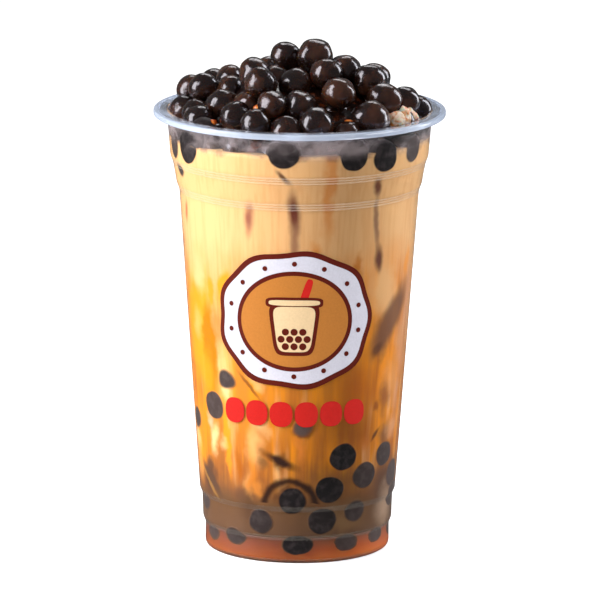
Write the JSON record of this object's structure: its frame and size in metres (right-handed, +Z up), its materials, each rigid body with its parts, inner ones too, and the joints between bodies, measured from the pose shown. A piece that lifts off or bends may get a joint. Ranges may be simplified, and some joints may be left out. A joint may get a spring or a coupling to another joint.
{
  "type": "bubble tea",
  "caption": "Iced milk tea over brown sugar syrup in a tall clear plastic cup, with a domed heap of dark tapioca pearls above the rim.",
  "frame": {"origin": "centre of the cup's foot, on the surface that it stands on", "axes": "+Z up through the middle of the cup; the printed badge faces -Y; +X to the right as seen from the badge's side"},
  "size_m": [0.098, 0.098, 0.1734],
  "materials": {
    "clear_plastic": "clear smooth thin plastic with a rolled rim",
    "syrup": "clear amber brown sugar syrup",
    "milk_tea": "milky tea with golden and brown streaks of syrup",
    "pearls": "wet dark brown tapioca, slightly see-through at its edges"
  },
  "bodies": {
    "root": {"cup": "clear_plastic", "syrup": "syrup", "milk_tea": "milk_tea", "pearl_heap": "pearls"}
  },
  "joints": []
}
